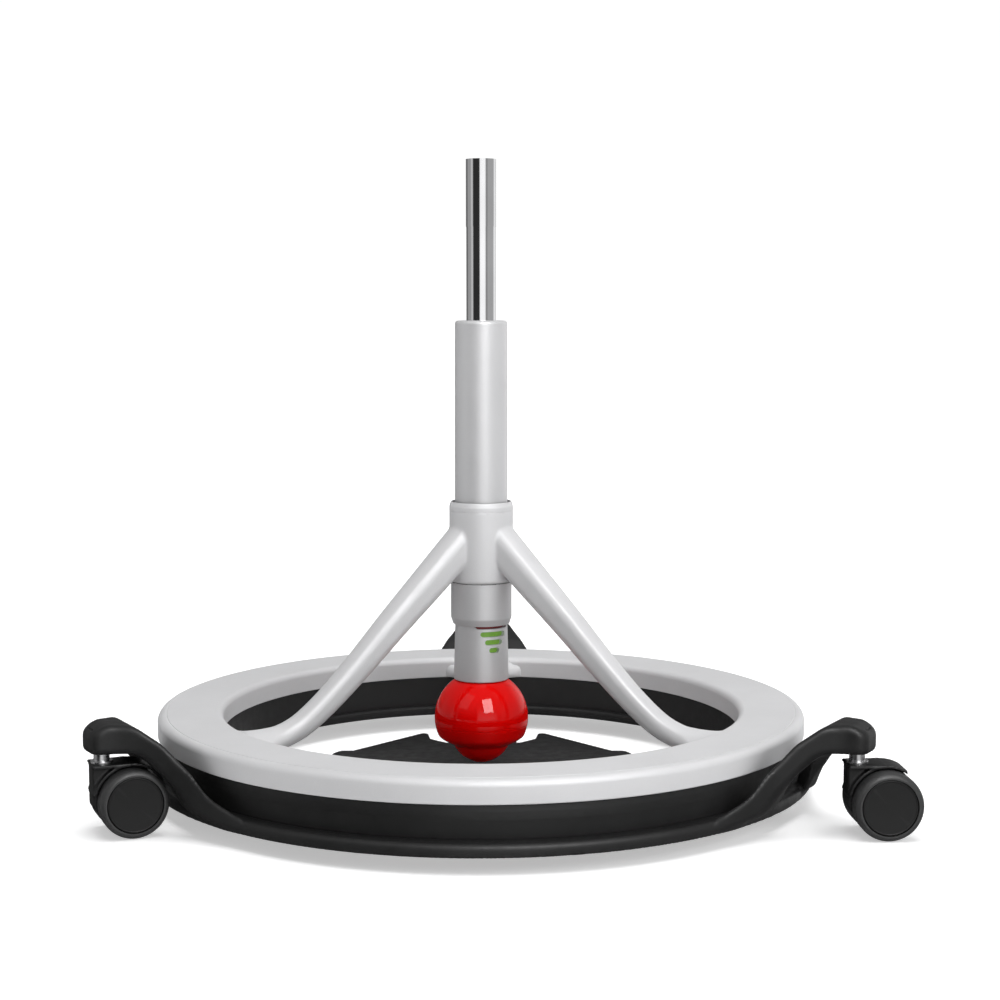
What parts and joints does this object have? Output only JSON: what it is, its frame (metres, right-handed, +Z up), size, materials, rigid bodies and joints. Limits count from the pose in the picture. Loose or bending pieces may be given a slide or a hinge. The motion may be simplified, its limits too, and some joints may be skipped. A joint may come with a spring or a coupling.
{
  "type": "active sitting stool base",
  "caption": "Castor-mounted foot ring with splayed struts, a swaying gas-lift column and a ball that sets its stiffness; takes a seat on the bare tube.",
  "frame": {"origin": "on the floor, straight below the column axis", "axes": "+Z up along the column, -Y towards the front, where two castors are"},
  "size_m": [0.5798, 0.5841, 0.474],
  "materials": {
    "silver_paint": "satin silver powder coat on a cast part",
    "silver_plastic": "satin silver paint",
    "black_plastic": "fine-grained black moulding",
    "castor_plastic": "satin black moulding",
    "soft_tread": "soft grey-black tread",
    "black_steel": "black coated tube",
    "zinc_steel": "bright zinc plate",
    "chrome": "polished",
    "elastomer": "matt",
    "green_plastic": "satin",
    "red_plastic": "satin",
    "red_gloss": "high gloss"
  },
  "bodies": {
    "base": {"foot_ring": "silver_paint", "base_ring": "black_plastic", "carrier_ring": "black_plastic", "ring_screws": "zinc_steel", "centre_plate": "black_plastic", "hub": "silver_paint", "stem_sockets": "zinc_steel", "castor_arm_rear": "black_plastic", "strut_rear": "silver_paint", "castor_arm_front_left": "black_plastic", "strut_front_left": "silver_paint", "castor_arm_front_right": "black_plastic", "strut_front_right": "silver_paint"},
    "sway_link": {"sway_bush": "elastomer"},
    "column": {"column_tube": "black_steel", "bearing_collar": "zinc_steel", "column_sleeve": "silver_plastic", "guide_bush": "black_plastic", "lower_cup": "silver_plastic", "end_plate": "zinc_steel"},
    "indicator": {"indicator_sleeve": "silver_plastic", "green_band": "green_plastic", "red_band": "red_plastic"},
    "adjusting_ball": {"ball_upper": "red_gloss", "adjusting_nut": "black_plastic", "ball_lower": "red_gloss", "ball_nose": "red_gloss"},
    "swivel_rod": {"piston_rod": "zinc_steel", "rod_clip": "zinc_steel", "thrust_bearing": "zinc_steel", "piston": "zinc_steel"},
    "lift_tube": {"pressure_tube": "chrome", "rod_seal": "elastomer", "valve_body": "zinc_steel"},
    "release": {"release_pin": "zinc_steel"},
    "castor_rear": {"castor_body_rear": "castor_plastic", "castor_stem_rear": "zinc_steel", "castor_axle_rear": "zinc_steel"},
    "wheel_a_rear": {"wheel_a_rear": "castor_plastic", "tread_a_rear": "soft_tread"},
    "wheel_b_rear": {"wheel_b_rear": "castor_plastic", "tread_b_rear": "soft_tread"},
    "castor_front_left": {"castor_body_front_left": "castor_plastic", "castor_stem_front_left": "zinc_steel", "castor_axle_front_left": "zinc_steel"},
    "wheel_a_front_left": {"wheel_a_front_left": "castor_plastic", "tread_a_front_left": "soft_tread"},
    "wheel_b_front_left": {"wheel_b_front_left": "castor_plastic", "tread_b_front_left": "soft_tread"},
    "castor_front_right": {"castor_body_front_right": "castor_plastic", "castor_stem_front_right": "zinc_steel", "castor_axle_front_right": "zinc_steel"},
    "wheel_a_front_right": {"wheel_a_front_right": "castor_plastic", "tread_a_front_right": "soft_tread"},
    "wheel_b_front_right": {"wheel_b_front_right": "castor_plastic", "tread_b_front_right": "soft_tread"}
  },
  "joints": [
    {"name": "sway_about_x", "type": "hinge", "parent": "base", "child": "sway_link", "pos_m": [0, 0, 0.198], "axis": [1, 0, 0], "range_deg": [-4, 4], "stiffness_Nm_per_rad": 60},
    {"name": "sway_about_y", "type": "hinge", "parent": "sway_link", "child": "column", "pos_m": [0, 0, 0.198], "axis": [0, 1, 0], "range_deg": [-4, 4], "stiffness_Nm_per_rad": 60},
    {"name": "column_swivel", "type": "hinge", "parent": "column", "child": "swivel_rod", "pos_m": [0, 0, 0.06], "axis": [0, 0, 1], "continuous": true},
    {"name": "height_slide", "type": "slide", "parent": "swivel_rod", "child": "lift_tube", "axis": [0, 0, 1], "range_m": [-0.11, 0.02]},
    {"name": "release_travel", "type": "slide", "parent": "lift_tube", "child": "release", "axis": [0, 0, -1], "range_m": [0, 0.003], "stiffness_N_per_m": 1500, "springref_m": -0.002},
    {"name": "indicator_slide", "type": "slide", "parent": "column", "child": "indicator", "axis": [0, 0, 1], "range_m": [-0.006, 0.018]},
    {"name": "ball_turn", "type": "hinge", "parent": "indicator", "child": "adjusting_ball", "pos_m": [0, 0, 0.0507], "axis": [0, 0, 1], "range_deg": [-360, 1080]},
    {"name": "castor_swivel_rear", "type": "hinge", "parent": "base", "child": "castor_rear", "pos_m": [0, 0.302, 0.06], "axis": [0, 0, 1], "continuous": true},
    {"name": "wheel_a_spin_rear", "type": "hinge", "parent": "castor_rear", "child": "wheel_a_rear", "pos_m": [0.01822, 0.30521, 0.024], "axis": [-0.1736, 0.9848, 0], "continuous": true},
    {"name": "wheel_b_spin_rear", "type": "hinge", "parent": "castor_rear", "child": "wheel_b_rear", "pos_m": [0.01822, 0.30521, 0.024], "axis": [-0.1736, 0.9848, 0], "continuous": true},
    {"name": "castor_swivel_front_left", "type": "hinge", "parent": "base", "child": "castor_front_left", "pos_m": [-0.26154, -0.151, 0.06], "axis": [0, 0, 1], "continuous": true},
    {"name": "wheel_a_spin_front_left", "type": "hinge", "parent": "castor_front_left", "child": "wheel_a_front_left", "pos_m": [-0.24439, -0.14407, 0.024], "axis": [-0.3746, 0.9272, 0], "continuous": true},
    {"name": "wheel_b_spin_front_left", "type": "hinge", "parent": "castor_front_left", "child": "wheel_b_front_left", "pos_m": [-0.24439, -0.14407, 0.024], "axis": [-0.3746, 0.9272, 0], "continuous": true},
    {"name": "castor_swivel_front_right", "type": "hinge", "parent": "base", "child": "castor_front_right", "pos_m": [0.26154, -0.151, 0.06], "axis": [0, 0, 1], "continuous": true},
    {"name": "wheel_a_spin_front_right", "type": "hinge", "parent": "castor_front_right", "child": "wheel_a_front_right", "pos_m": [0.28001, -0.15003, 0.024], "axis": [-0.0523, 0.9986, 0], "continuous": true},
    {"name": "wheel_b_spin_front_right", "type": "hinge", "parent": "castor_front_right", "child": "wheel_b_front_right", "pos_m": [0.28001, -0.15003, 0.024], "axis": [-0.0523, 0.9986, 0], "continuous": true}
  ],
  "couplings": [
    {"joint": "ball_turn", "follows": "indicator_slide", "rad_per_m": 1047.2}
  ]
}
